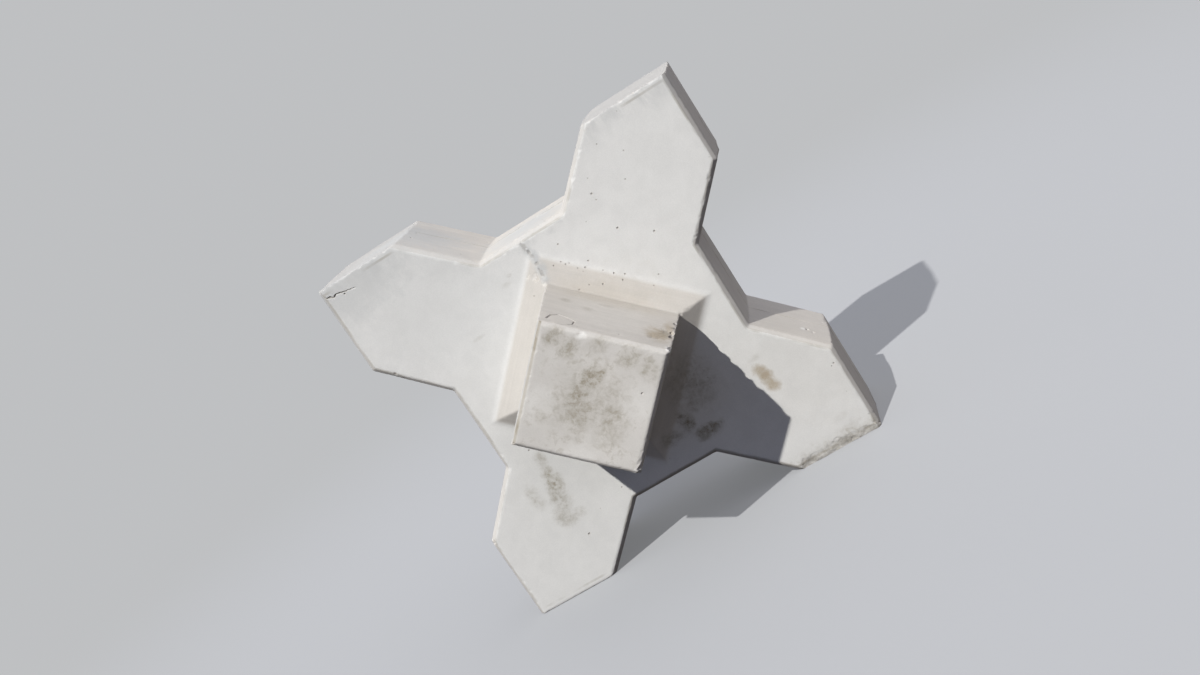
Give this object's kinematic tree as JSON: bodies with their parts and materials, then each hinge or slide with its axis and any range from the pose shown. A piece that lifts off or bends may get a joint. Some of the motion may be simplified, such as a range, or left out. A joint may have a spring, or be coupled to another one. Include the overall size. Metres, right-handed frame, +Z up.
{
  "type": "concrete breakwater armour unit",
  "caption": "Cast concrete armour unit for a breakwater: a thick upright cross of four legs with a square tapered nose on each broad face, which interlocks with its neighbours.",
  "frame": {"origin": "on the ground, midway between the two feet and the two broad faces", "axes": "+Z up, +X across the cross from foot to foot, +Y along the noses, so the cross lies in the XZ plane"},
  "size_m": [2.36, 2.2, 2.36],
  "materials": {
    "concrete": "smooth formed concrete, pale warm grey, matt, with pinholes and weather stains"
  },
  "bodies": {
    "root": {"armour_unit": "concrete"}
  },
  "joints": []
}
